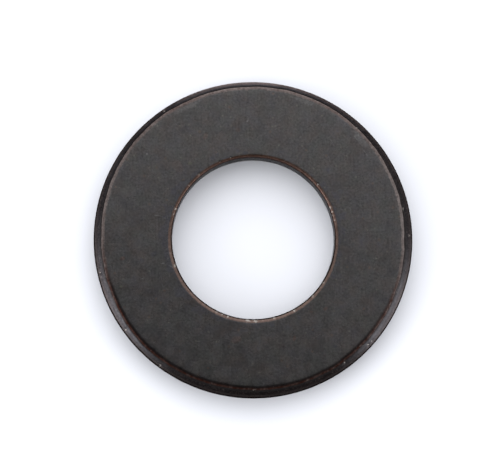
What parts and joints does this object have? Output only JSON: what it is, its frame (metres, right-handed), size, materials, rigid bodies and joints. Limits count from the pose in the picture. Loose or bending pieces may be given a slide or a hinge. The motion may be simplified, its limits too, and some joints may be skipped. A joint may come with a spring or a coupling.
{
  "type": "flat washer",
  "caption": "Flat round steel washer with a central bolt hole, a rolled upper rim and a dark oxide finish.",
  "frame": {"origin": "centre of the bolt hole, on the flat underside", "axes": "+Z along the hole, from the underside to the upper face with the wide rolled rim; +X and +Y are any two directions across the ring, which is round"},
  "size_m": [0.0206, 0.0206, 0.002],
  "materials": {
    "black_oxide_steel": "black oxide, satin, worn brown along the edges"
  },
  "bodies": {
    "root": {"washer": "black_oxide_steel"}
  },
  "joints": []
}
